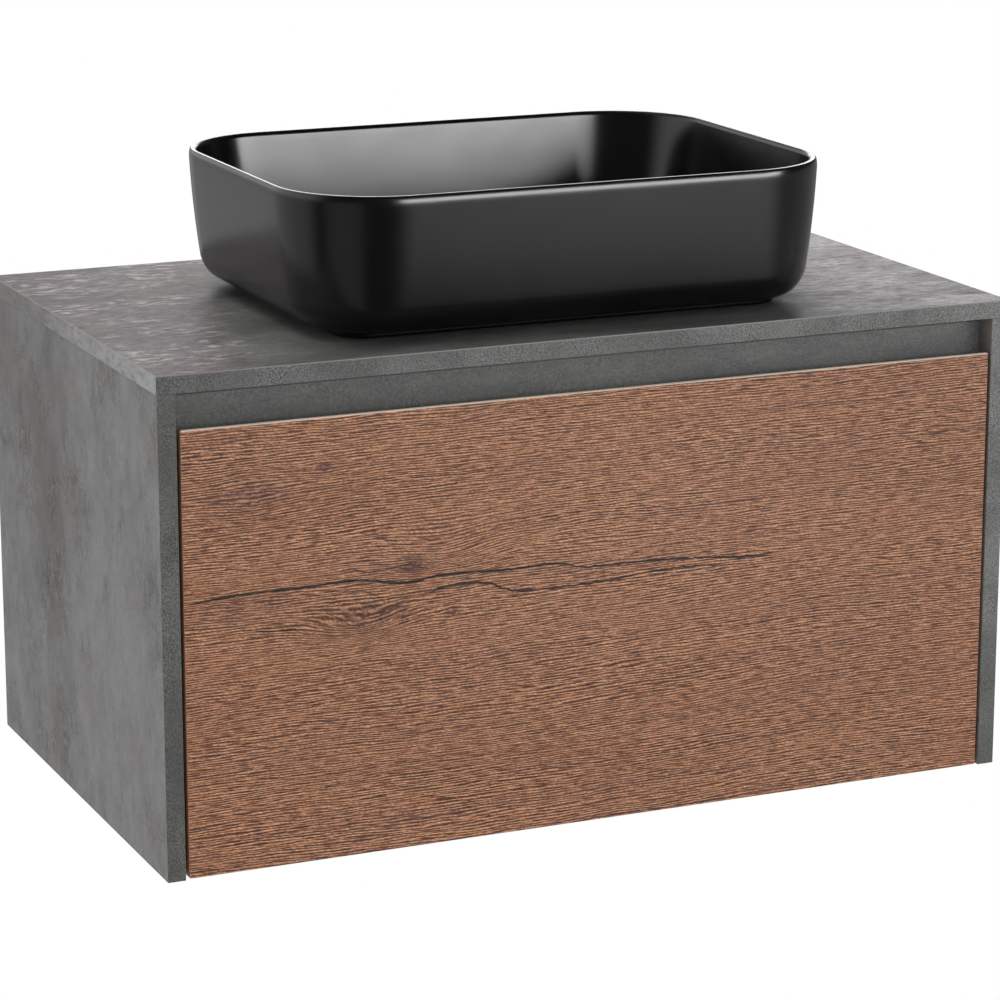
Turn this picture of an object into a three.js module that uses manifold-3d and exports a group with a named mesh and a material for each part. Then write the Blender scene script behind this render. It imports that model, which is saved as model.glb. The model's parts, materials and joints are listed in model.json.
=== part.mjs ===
// Wall-hung bathroom vanity with one drawer and a vessel basin on its worktop.
// Millimetres, +Z up. X runs along the width, the front faces -Y and the wall is the plane Y = 0.
// Inside this file Z = 0 is the lower edge of the side panels. The exported group is then moved
// down so that its origin lies on the wall, at the middle of the back of the hanging rail.
import * as THREE from "three";
import { mergeVertices } from "three/addons/utils/BufferGeometryUtils.js";
import Module from "manifold-3d";

const wasm = await Module();
wasm.setup();

// ---- Driving dimensions ----
const WIDTH = 800; // worktop, end to end
const DEPTH = 475; // worktop, wall to front
const HEIGHT = 434; // underside to the top of the worktop
const BOARD = 16; // chipboard with a laminate face
const OVERHANG = 0.5; // worktop past each side panel

const FRONT_GAP = 3; // drawer front to each side panel
const FRONT_TOP = 387; // height of the drawer front's top edge
const FRONT_LAND = 4; // flat left on that edge in front of the finger bevel
const BEVEL_HEIGHT = 24;
const GRIP_RECESS = 21; // front plane back to the grip rail
const GRIP_RAIL_HEIGHT = 68;

const BOX_GAP = 13; // drawer box to side panel: the room the slides take
const BOX_LENGTH = 400;
const BOX_BOTTOM = 24; // underside of the drawer box
const BOX_HEIGHT = 220;
const CUTOUT_HALF = 85; // half the width of the trap's cut-out
const CUTOUT_DEPTH = 251;

const SLIDE_HEIGHT = 45; // telescopic slide, outer member
const SLIDE_LENGTH = 396;
const SLIDE_Z = 120; // centre line
const SHEET = 1.25; // sheet steel of the slides
const BALL_RADIUS = 1.5;
const BALLS_PER_ROW = 5;
const DRAWER_TRAVEL = 380;
const CAGE_LENGTH = 190;

const BASIN_LENGTH = 508; // rim, along X
const BASIN_DEPTH = 388; // rim, along Y
const BASIN_HEIGHT = 128;
const RIM_RADIUS = 94; // corner radius of the rim in plan
const BASIN_FRONT = 24; // rim to the front edge of the worktop
const DRAIN_FLOOR = 20; // bowl floor at the drain, above the worktop
const DRAIN_RADIUS = 23; // hole in the basin and in the worktop
const CORNER_STEPS = 8; // facets in each rounded corner of the basin

const REAR_INSET = 24; // wall to the back rails
const HANGING_RAIL_Z = 358; // middle of the rail on the wall, the height of the origin
const HANGER_FROM_SIDE = 32; // side panel to the middle of a hanger
const HANGER_Z = 380; // adjusting screw
const LIP_TOP = 393.5; // upper edge of the rail's lip
const WASTE_RADIUS = 21; // threaded tail of the waste
const PIPE_RADIUS = 16;
const TRAP_AXIS_Z = 285; // outlet pipe
const CLEAR = 0.3; // gap between round pieces that touch

const SIDES = [
  ["left", -1],
  ["right", 1],
];

// ---- Derived places ----
const SIDE_OUT = WIDTH / 2 - OVERHANG;
const SIDE_IN = SIDE_OUT - BOARD;
const UNDER_TOP = HEIGHT - BOARD;
const HANGER_X = SIDE_IN - HANGER_FROM_SIDE;
const FRONT_Y = -DEPTH;
const FRONT_BACK_Y = FRONT_Y + BOARD;
const BOX_X = SIDE_IN - BOX_GAP;
const BOX_IN_X = BOX_X - BOARD;
const BOX_BACK_Y = FRONT_BACK_Y + BOX_LENGTH;
const BOX_FLOOR = BOX_BOTTOM + BOARD;
const BOX_TOP = BOX_BOTTOM + BOX_HEIGHT;
const CUTOUT_Y = BOX_BACK_Y - CUTOUT_DEPTH;
const BASIN_Y = FRONT_Y + BASIN_FRONT + BASIN_DEPTH / 2;
const DRAIN_Z = HEIGHT + DRAIN_FLOOR;

// ---- Finishes ----
const finish = (color, roughness, metalness = 0) => ({ color, roughness, metalness });
const CONCRETE = finish(0x6b6967, 0.62);
const OAK = finish(0x8e6a54, 0.6);
const LINING = finish(0x9a948c, 0.7);
const CERAMIC = finish(0x161616, 0.35);
const ZINC = finish(0xb4b8bb, 0.35, 1);
const CHROME = finish(0xd6d8da, 0.12, 1);
const WHITE_PLASTIC = finish(0xe6e6e2, 0.45);
const RUBBER = finish(0x262626, 0.8);

const part = new THREE.Group();
const assembly = new THREE.Group();
assembly.position.z = -HANGING_RAIL_Z;
part.add(assembly);

// ---- Building blocks ----
function place(name, geometry, look, [x, y, z] = [0, 0, 0]) {
  const mesh = new THREE.Mesh(geometry, new THREE.MeshStandardMaterial(look));
  mesh.name = name;
  mesh.position.set(x, y, z);
  assembly.add(mesh);
  return mesh;
}

// A box geometry between two corners.
function block([x0, x1], [y0, y1], [z0, z1]) {
  const geometry = new THREE.BoxGeometry(x1 - x0, y1 - y0, z1 - z0);
  return geometry.translate((x0 + x1) / 2, (y0 + y1) / 2, (z0 + z1) / 2);
}

// The same span on the other side of the middle plane, when side is 1.
const flank = (side, inner, outer) => (side > 0 ? [inner, outer] : [-outer, -inner]);

// A polygon of (y, z) points drawn out along X.
function extrudeX(points, x0, x1) {
  const shape = new THREE.Shape(points.map(([y, z]) => new THREE.Vector2(y, z)));
  const geometry = new THREE.ExtrudeGeometry(shape, { depth: x1 - x0, bevelEnabled: false });
  const turn = new THREE.Matrix4().makeBasis(
    new THREE.Vector3(0, 1, 0),
    new THREE.Vector3(0, 0, 1),
    new THREE.Vector3(1, 0, 0),
  );
  return geometry.applyMatrix4(turn).translate(x0, 0, 0);
}

// A polygon of (x, z) points drawn out along Y, from y0 forwards to y1.
function extrudeY(points, y0, y1) {
  const shape = new THREE.Shape(points.map(([x, z]) => new THREE.Vector2(x, z)));
  const geometry = new THREE.ExtrudeGeometry(shape, { depth: y0 - y1, bevelEnabled: false });
  const turn = new THREE.Matrix4().makeBasis(
    new THREE.Vector3(1, 0, 0),
    new THREE.Vector3(0, 0, 1),
    new THREE.Vector3(0, -1, 0),
  );
  return geometry.applyMatrix4(turn).translate(0, y0, 0);
}

// A polygon of (x, y) points drawn up along Z.
function extrudeZ(points, z0, z1) {
  const shape = new THREE.Shape(points.map(([x, y]) => new THREE.Vector2(x, y)));
  const geometry = new THREE.ExtrudeGeometry(shape, { depth: z1 - z0, bevelEnabled: false });
  return geometry.translate(0, 0, z0);
}

// A closed outline of (radius, height) points turned about Z.
function turned(outline, segments = 32) {
  const points = outline.map(([r, z]) => new THREE.Vector2(r, z));
  if (THREE.ShapeUtils.area(points) < 0) points.reverse();
  const onAxis = points.findIndex((p) => p.x === 0);
  if (onAxis < 0) {
    points.push(points[0].clone());
  } else {
    while (points[0].x !== 0 || points.at(-1).x !== 0) points.push(points.shift());
  }
  return new THREE.LatheGeometry(points, segments).rotateX(Math.PI / 2);
}

// A solid of manifold-3d from a closed three.js geometry.
function solid(geometry) {
  const bare = new THREE.BufferGeometry();
  const flat = geometry.index ? geometry.toNonIndexed() : geometry;
  bare.setAttribute("position", flat.getAttribute("position"));
  const merged = mergeVertices(bare, 1e-3);
  return new wasm.Manifold(
    new wasm.Mesh({
      numProp: 3,
      vertProperties: merged.attributes.position.array,
      triVerts: new Uint32Array(merged.index.array),
    }),
  );
}

function geometryOf(body) {
  const mesh = body.getMesh();
  const geometry = new THREE.BufferGeometry();
  geometry.setAttribute("position", new THREE.BufferAttribute(mesh.vertProperties, 3));
  geometry.setIndex(new THREE.BufferAttribute(mesh.triVerts, 1));
  geometry.computeVertexNormals();
  return geometry;
}

const cut = (geometry, ...tools) =>
  geometryOf(tools.reduce((body, tool) => body.subtract(solid(tool)), solid(geometry)));
const join = (geometry, ...others) =>
  geometryOf(others.reduce((body, other) => body.add(solid(other)), solid(geometry)));

// A drill or rod along Y.
function rodY(radius, y0, y1, x, z, segments = 32) {
  const geometry = new THREE.CylinderGeometry(radius, radius, y1 - y0, segments);
  return geometry.translate(x, (y0 + y1) / 2, z);
}

// ---- Carcass ----
function carcass() {
  const drainHole = turned(
    [
      [0, UNDER_TOP - 5],
      [DRAIN_RADIUS, UNDER_TOP - 5],
      [DRAIN_RADIUS, HEIGHT + 5],
      [0, HEIGHT + 5],
    ],
  ).translate(0, BASIN_Y, 0);
  const top = block([-WIDTH / 2, WIDTH / 2], [FRONT_Y, 0], [UNDER_TOP, HEIGHT]);
  place("worktop", cut(top, drainHole), CONCRETE);

  for (const [word, side] of SIDES) {
    const span = flank(side, SIDE_IN, SIDE_OUT);
    place(`side_panel_${word}`, block(span, [FRONT_Y, 0], [0, UNDER_TOP]), CONCRETE);
  }
  const inside = [-SIDE_IN, SIDE_IN];
  place("bottom_panel", block(inside, [FRONT_BACK_Y + 2, -REAR_INSET], [0, BOARD]), LINING);
  const gripY = [FRONT_Y + GRIP_RECESS, FRONT_Y + GRIP_RECESS + BOARD];
  place("grip_rail", block(inside, gripY, [UNDER_TOP - GRIP_RAIL_HEIGHT, UNDER_TOP]), CONCRETE);

  const rearY = [-REAR_INSET - BOARD, -REAR_INSET];
  const drill = (side) => rodY(4, rearY[0] - 5, rearY[1] + 5, side * HANGER_X, HANGER_Z);
  const rearTop = block(inside, rearY, [UNDER_TOP - 100, UNDER_TOP]);
  place("rear_top_rail", cut(rearTop, drill(-1), drill(1)), LINING);
  place("rear_bottom_rail", block(inside, rearY, [BOARD, BOARD + 80]), LINING);
}

// ---- Wall hanging ----
function wallHanging() {
  // The rail: a flat strip on the wall, a step off it and a lip that the hooks drop over.
  const profile = [
    [0, 340],
    [0, 378],
    [-6, 378],
    [-6, LIP_TOP],
    [-8, LIP_TOP],
    [-8, 376],
    [-2, 376],
    [-2, 340],
  ];
  const slots = [-300, -100, 100, 300].map((x) => block([x - 8, x + 8], [-5, 5], [346, 352.5]));
  place("wall_rail", cut(extrudeX(profile.reverse(), -360, 360), ...slots), ZINC);

  for (const [word, side] of SIDES) {
    const x = side * HANGER_X;
    const housing = block([x - 27, x + 27], [-REAR_INSET + 0.5, -12], [352, 410]);
    place(`hanger_housing_${word}`, cut(housing, rodY(3.3, -40, 0, x, HANGER_Z)), WHITE_PLASTIC);

    // The hook: a plate behind the housing that turns over the lip and down behind it.
    const hook = [
      [-11.5, 366],
      [-9.5, 366],
      [-9.5, 394],
      [-4.5, 394],
      [-4.5, 382],
      [-2.5, 382],
      [-2.5, 396],
      [-11.5, 396],
    ];
    place(`hanger_hook_${word}`, extrudeX(hook, x - 15, x + 15), ZINC);

    const head = rodY(6.5, -REAR_INSET - BOARD - 4, -REAR_INSET - BOARD - 0.5, x, HANGER_Z, 24);
    const shank = rodY(3, -REAR_INSET - BOARD - 2, -13, x, HANGER_Z, 24);
    const socket = rodY(2.5, -REAR_INSET - BOARD - 6, -REAR_INSET - BOARD - 2.5, x, HANGER_Z, 6);
    const screw = join(head, shank);
    place(`hanger_screw_${word}`, cut(screw, socket), ZINC);
  }
}

// ---- Drawer ----
function drawer() {
  // The front's upper edge is bevelled at the back, so that fingers reach behind it.
  const frontProfile = [
    [FRONT_Y, 1],
    [FRONT_BACK_Y, 1],
    [FRONT_BACK_Y, FRONT_TOP - BEVEL_HEIGHT],
    [FRONT_Y + FRONT_LAND, FRONT_TOP],
    [FRONT_Y, FRONT_TOP],
  ];
  const frontX = SIDE_IN - FRONT_GAP;
  place("drawer_front", extrudeX(frontProfile, -frontX, frontX), OAK);

  const length = [FRONT_BACK_Y, BOX_BACK_Y];
  const floor = block([-BOX_IN_X, BOX_IN_X], length, [BOX_BOTTOM, BOX_FLOOR]);
  const notchX = [-CUTOUT_HALF, CUTOUT_HALF];
  const notch = block(notchX, [CUTOUT_Y, BOX_BACK_Y + 10], [BOX_BOTTOM - 5, BOX_FLOOR + 5]);
  place("drawer_bottom", cut(floor, notch), LINING);

  const wall = [BOX_FLOOR, BOX_TOP];
  const cutoutX = CUTOUT_HALF + BOARD;
  place("cutout_front", block([-cutoutX, cutoutX], [CUTOUT_Y - BOARD, CUTOUT_Y], wall), LINING);
  for (const [word, side] of SIDES) {
    const sideX = flank(side, BOX_IN_X, BOX_X);
    const backX = flank(side, cutoutX, BOX_IN_X);
    const notchWallX = flank(side, CUTOUT_HALF, cutoutX);
    place(`drawer_side_${word}`, block(sideX, length, [BOX_BOTTOM, BOX_TOP]), LINING);
    place(`drawer_back_${word}`, block(backX, [BOX_BACK_Y - BOARD, BOX_BACK_Y], wall), LINING);
    place(`cutout_side_${word}`, block(notchWallX, [CUTOUT_Y, BOX_BACK_Y], wall), LINING);

    // A steel angle in each front corner ties the front to the box.
    const inner = side * BOX_IN_X;
    const leg = side * (BOX_IN_X - 30);
    const y0 = FRONT_BACK_Y;
    const plan = [
      [inner, y0],
      [inner, y0 + 30],
      [inner - side * 2, y0 + 30],
      [inner - side * 2, y0 + 2],
      [leg, y0 + 2],
      [leg, y0],
    ];
    place(`front_bracket_${word}`, extrudeZ(plan, BOX_TOP - 70, BOX_TOP - 30), ZINC);
  }
}

// ---- Telescopic slides ----
// A channel section: its web at webX, its two flanges reaching flangeX, half its height in half.
function channel(webX, flangeX, half, sheet) {
  const inwards = Math.sign(flangeX - webX);
  const web = webX + inwards * sheet;
  return [
    [webX, SLIDE_Z - half],
    [flangeX, SLIDE_Z - half],
    [flangeX, SLIDE_Z - half + sheet],
    [web, SLIDE_Z - half + sheet],
    [web, SLIDE_Z + half - sheet],
    [flangeX, SLIDE_Z + half - sheet],
    [flangeX, SLIDE_Z + half],
    [webX, SLIDE_Z + half],
  ];
}

// A retainer: a thin channel with a row of balls held in each flange.
function ballCage(webX, flangeX, half, ballX, y0, y1) {
  const strip = extrudeY(channel(webX, flangeX, half, 0.5), y0, y1);
  const step = (y0 - y1 - 40) / (BALLS_PER_ROW - 1);
  const balls = [];
  for (let i = 0; i < BALLS_PER_ROW; i += 1) {
    for (const row of [-1, 1]) {
      const ball = new THREE.OctahedronGeometry(BALL_RADIUS, 1);
      balls.push(ball.translate(ballX, y1 + 20 + i * step, SLIDE_Z + row * (half - 0.25)));
    }
  }
  return join(strip, ...balls);
}

function slides() {
  const y1 = FRONT_BACK_Y + 2;
  const y0 = y1 + SLIDE_LENGTH;
  // A retainer stays between its two members at both ends of the travel.
  const cageFront = y1 + DRAWER_TRAVEL / 4 + 6;
  const cageBack = cageFront + CAGE_LENGTH;
  const outerHalf = SLIDE_HEIGHT / 2;
  const middleHalf = outerHalf - SHEET - 2 * BALL_RADIUS - 0.5;
  const innerHalf = middleHalf - SHEET - 2 * BALL_RADIUS - 0.5;
  for (const [word, side] of SIDES) {
    const at = (fromPanel) => side * (SIDE_IN - fromPanel);
    const outer = channel(at(0), at(10.5), outerHalf, SHEET);
    const middle = channel(at(2.5), at(11), middleHalf, SHEET);
    const inner = channel(at(BOX_GAP), at(5), innerHalf, SHEET);
    place(`slide_outer_${word}`, extrudeY(outer, y0, y1), ZINC);
    place(`slide_middle_${word}`, extrudeY(middle, y0 - 4, y1 + 4), ZINC);
    place(`slide_inner_${word}`, extrudeY(inner, y0, y1), ZINC);

    const outerCage = ballCage(at(1.625), at(9), middleHalf + 2, at(7), cageBack, cageFront);
    const innerCage = ballCage(at(4), at(11), innerHalf + 2, at(8), cageBack, cageFront);
    place(`ball_cage_outer_${word}`, outerCage, CHROME);
    place(`ball_cage_inner_${word}`, innerCage, CHROME);
  }
}

// ---- Basin ----
// One closed ring of a rounded rectangle: half sizes a and b, corner radius r, height z.
function ring(a, b, r, z, steps) {
  const points = [];
  for (let corner = 0; corner < 4; corner += 1) {
    const [sx, sy] = [[1, 1], [-1, 1], [-1, -1], [1, -1]][corner];
    for (let i = 0; i <= steps; i += 1) {
      const angle = ((corner + i / steps) * Math.PI) / 2;
      points.push([sx * (a - r) + r * Math.cos(angle), sy * (b - r) + r * Math.sin(angle), z]);
    }
  }
  return points;
}

// Skins a list of rings into a closed tube that joins its last ring to its first.
function loft(rings) {
  const count = rings[0].length;
  const index = [];
  rings.forEach((_, k) => {
    const next = (k + 1) % rings.length;
    for (let i = 0; i < count; i += 1) {
      const j = (i + 1) % count;
      const [p, q, r, s] = [k * count + i, k * count + j, next * count + i, next * count + j];
      index.push(p, q, s, p, s, r);
    }
  });
  const geometry = new THREE.BufferGeometry();
  geometry.setAttribute("position", new THREE.Float32BufferAttribute(rings.flat(2), 3));
  geometry.setIndex(index);
  geometry.computeVertexNormals();
  return geometry;
}

// A quarter arc in the basin's section, as [inset from the rim, height] points.
function quarter(inset, z, radiusIn, radiusZ, from, steps) {
  const points = [];
  for (let i = 0; i <= steps; i += 1) {
    const angle = from + ((Math.PI / 2) * i) / steps;
    points.push([inset + radiusIn * Math.cos(angle), z + radiusZ * Math.sin(angle)]);
  }
  return points;
}

function basin() {
  const wall = 7;
  const draft = 9; // how far the outer wall leans in on its way down
  const turnIn = 31; // bottom edge radius
  const bottom = 6; // underside of the bowl above the worktop
  const foot = 45; // foot ring, in from the rim
  const outer = [
    [foot + 12, bottom],
    [foot + 11, 0],
    [foot + 1, 0],
    [foot, bottom],
    ...quarter(draft + turnIn, bottom + turnIn, turnIn, turnIn, Math.PI, 5).reverse(),
  ];
  const rim = [
    [0, BASIN_HEIGHT - 3],
    [1, BASIN_HEIGHT - 1],
    [3.5, BASIN_HEIGHT],
    [6, BASIN_HEIGHT - 1],
    [wall, BASIN_HEIGHT - 3],
  ];
  const floorEdge = DRAIN_FLOOR + 6;
  const inner = quarter(wall + 12 + 38, floorEdge + 38, 38, 38, Math.PI, 5);
  // The corners get tighter with the inset, on the outside more than in the bowl.
  const plan = (tightening) => ([inset, z]) =>
    ring(
      BASIN_LENGTH / 2 - inset,
      BASIN_DEPTH / 2 - inset,
      RIM_RADIUS - tightening * inset,
      z,
      CORNER_STEPS,
    );
  const round = (r, z) => ring(r, r, r - 2, z, CORNER_STEPS);
  const rings = [
    round(DRAIN_RADIUS, 6),
    ...outer.map(plan(1.5)),
    ...rim.map(plan(0.75)),
    ...inner.map(plan(0.75)),
    round(38, DRAIN_FLOOR),
    round(DRAIN_RADIUS, DRAIN_FLOOR),
  ];
  place("basin", loft(rings), CERAMIC, [0, BASIN_Y, HEIGHT]);
}

// ---- Waste with a click plug ----
function waste() {
  const at = [0, BASIN_Y, 0];
  const washer = (inner, outer, z0, z1) => turned([[inner, z0], [outer, z0], [outer, z1], [inner, z1]]);
  place("waste_gasket", washer(WASTE_RADIUS + CLEAR, 30, DRAIN_Z, DRAIN_Z + 1.5), RUBBER, at);
  place("worktop_gasket", washer(WASTE_RADIUS + CLEAR, 34, HEIGHT, HEIGHT + 5.5), RUBBER, at);
  place("backnut_washer", washer(WASTE_RADIUS + CLEAR, 35, UNDER_TOP - 3, UNDER_TOP), RUBBER, at);

  const hexagon = new THREE.CylinderGeometry(33, 33, 10, 6).rotateX(Math.PI / 2);
  hexagon.translate(0, 0, UNDER_TOP - 8);
  const thread = washer(0, WASTE_RADIUS + CLEAR, UNDER_TOP - 20, UNDER_TOP);
  place("waste_backnut", cut(hexagon, thread), ZINC, at);

  const tailEnd = UNDER_TOP - 64;
  const bore = WASTE_RADIUS - 3.5;
  const shell = turned([
    [bore, tailEnd],
    [WASTE_RADIUS, tailEnd],
    [WASTE_RADIUS, DRAIN_Z + 1.5],
    [31, DRAIN_Z + 1.5],
    [31, DRAIN_Z + 3.5],
    [29, DRAIN_Z + 4.5],
    [bore + 2, DRAIN_Z + 4.5],
    [bore, DRAIN_Z + 2.5],
  ]);
  const bar = block([-bore - 1, bore + 1], [-3, 3], [DRAIN_Z - 44, DRAIN_Z - 40]);
  place("waste_body", join(shell, bar), CHROME, at);

  const guide = DRAIN_Z - 40 + CLEAR;
  place(
    "plug_cartridge",
    turned([
      [0, guide],
      [7, guide],
      [7, guide + 26],
      [3.4, guide + 26],
      [3.4, guide + 3],
      [0, guide + 3],
    ]),
    WHITE_PLASTIC,
    at,
  );
  const capBase = DRAIN_Z + 6;
  place("plug_stem", washer(0, 3, guide + 4, capBase), CHROME, at);
  place(
    "plug_cap",
    turned([
      [0, capBase + CLEAR],
      [31, capBase + CLEAR],
      [33, capBase + 2],
      [32.5, capBase + 4],
      [26, capBase + 6.5],
      [14, capBase + 8.2],
      [0, capBase + 8.8],
    ]),
    CHROME,
    at,
  );
  return tailEnd;
}

// ---- Bottle trap ----
function trap(tailEnd) {
  const at = [0, BASIN_Y, 0];
  const ledge = tailEnd - 2;
  place(
    "trap_inlet_nut",
    turned([
      [PIPE_RADIUS + CLEAR, ledge - 12],
      [24, ledge - 12],
      [27, ledge - 9],
      [27, ledge + 8],
      [25, ledge + 10],
      [WASTE_RADIUS + CLEAR, ledge + 10],
      [WASTE_RADIUS + CLEAR, ledge],
      [PIPE_RADIUS + CLEAR, ledge],
    ]),
    CHROME,
    at,
  );
  place(
    "trap_dip_tube",
    turned([
      [PIPE_RADIUS - 1.5, 222],
      [PIPE_RADIUS, 222],
      [PIPE_RADIUS, ledge + CLEAR],
      [20.5, ledge + CLEAR],
      [20.5, tailEnd - CLEAR],
      [PIPE_RADIUS - 1.5, tailEnd - CLEAR],
    ]),
    CHROME,
    at,
  );

  const shell = turned([
    [PIPE_RADIUS + CLEAR, 318],
    [22, 318],
    [22, 308],
    [32, 302],
    [32, 250],
    [29, 250],
    [29, 300],
    [PIPE_RADIUS + CLEAR, 305],
  ]);
  const boss = rodY(21, 26, 50, 0, TRAP_AXIS_Z);
  const clearing = turned([[0, 240], [28.5, 240], [28.5, 299], [0, 299]]);
  const bore = rodY(PIPE_RADIUS + CLEAR, 20, 60, 0, TRAP_AXIS_Z);
  place("trap_body", cut(join(shell, boss), clearing, bore), CHROME, at);

  place(
    "trap_cup",
    turned([
      [0, 200],
      [26, 200],
      [32, 206],
      [32, 246],
      [36, 248],
      [36, 262],
      [32 + CLEAR, 262],
      [32 + CLEAR, 249.5],
      [29, 249.5],
      [29, 208],
      [25, 204],
      [0, 204],
    ]),
    CHROME,
    at,
  );

  // The outlet: its outlines are turned about Z first, then laid along +Y.
  const lay = (outline) => turned(outline).rotateX(-Math.PI / 2);
  const along = [0, BASIN_Y, TRAP_AXIS_Z];
  const wallGap = -BASIN_Y;
  place(
    "trap_outlet_nut",
    lay([
      [PIPE_RADIUS + CLEAR, 50.5],
      [PIPE_RADIUS + CLEAR, 60],
      [23, 60],
      [26, 57],
      [26, 42],
      [21 + CLEAR, 42],
      [21 + CLEAR, 50.5],
    ]),
    CHROME,
    along,
  );
  place(
    "trap_outlet_pipe",
    lay([[14.5, 36], [PIPE_RADIUS, 36], [PIPE_RADIUS, wallGap], [14.5, wallGap]]),
    CHROME,
    along,
  );
  place(
    "wall_rosette",
    lay([
      [PIPE_RADIUS + CLEAR, wallGap - 9],
      [20, wallGap - 9],
      [30, wallGap - 5],
      [33, wallGap],
      [29, wallGap],
      [PIPE_RADIUS + CLEAR, wallGap - 6],
    ]),
    CHROME,
    along,
  );
}

carcass();
wallHanging();
drawer();
slides();
basin();
trap(waste());

export default part;
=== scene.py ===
"""Looks of a wall-hung vanity with one drawer and a vessel basin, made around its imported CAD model.

Shapes are built in millimetres and scaled to the frame's metres. Heights in the outlines of the waste
and the trap count from the lower edge of the side panels, as in the CAD.
"""

import json
import math

import bmesh
import bpy
from mathutils import Matrix, Vector

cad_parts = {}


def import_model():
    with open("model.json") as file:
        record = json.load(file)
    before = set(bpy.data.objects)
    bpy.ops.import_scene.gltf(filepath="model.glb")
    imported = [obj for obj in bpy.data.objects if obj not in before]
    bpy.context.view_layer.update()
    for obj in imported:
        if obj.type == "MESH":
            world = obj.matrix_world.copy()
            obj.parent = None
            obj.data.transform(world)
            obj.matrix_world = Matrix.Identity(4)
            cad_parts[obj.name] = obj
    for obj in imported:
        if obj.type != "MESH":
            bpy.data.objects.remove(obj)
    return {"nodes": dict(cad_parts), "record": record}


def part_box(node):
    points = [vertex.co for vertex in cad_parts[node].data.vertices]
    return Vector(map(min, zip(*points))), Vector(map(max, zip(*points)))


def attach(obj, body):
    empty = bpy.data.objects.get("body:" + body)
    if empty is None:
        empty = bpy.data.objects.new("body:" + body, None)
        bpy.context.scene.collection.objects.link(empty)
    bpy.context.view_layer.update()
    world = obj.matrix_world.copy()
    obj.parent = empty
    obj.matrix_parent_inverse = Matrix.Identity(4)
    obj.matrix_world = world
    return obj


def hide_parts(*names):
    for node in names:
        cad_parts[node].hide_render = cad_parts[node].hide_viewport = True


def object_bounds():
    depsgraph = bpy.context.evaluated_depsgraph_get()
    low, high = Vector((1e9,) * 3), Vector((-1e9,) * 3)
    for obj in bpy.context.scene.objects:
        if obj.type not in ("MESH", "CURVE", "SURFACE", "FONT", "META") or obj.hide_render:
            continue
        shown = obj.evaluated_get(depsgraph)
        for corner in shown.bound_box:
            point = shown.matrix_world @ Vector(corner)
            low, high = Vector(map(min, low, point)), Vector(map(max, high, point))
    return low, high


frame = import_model()
CAD_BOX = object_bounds()

MM = 0.001
SIDES = (("left", -1), ("right", 1))
RECORD = frame["record"]
BODY_OF = {n: b for b, names in RECORD["behaviour"]["bodies"].items() for n in names}


def span(node):
    """Lowest and highest corner of a CAD node, in millimetres."""
    return [Vector([round(c / MM, 3) for c in corner]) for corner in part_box(node)]


FOOT_Z = span("side_panel_left")[0].z  # lower edge of the side panels
TOP_Z = span("worktop")[1].z
FRONT_LO, FRONT_HI = span("drawer_front")
BASIN_LO, BASIN_HI = span("basin")
BASIN_MID = (BASIN_LO + BASIN_HI) / 2


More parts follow.
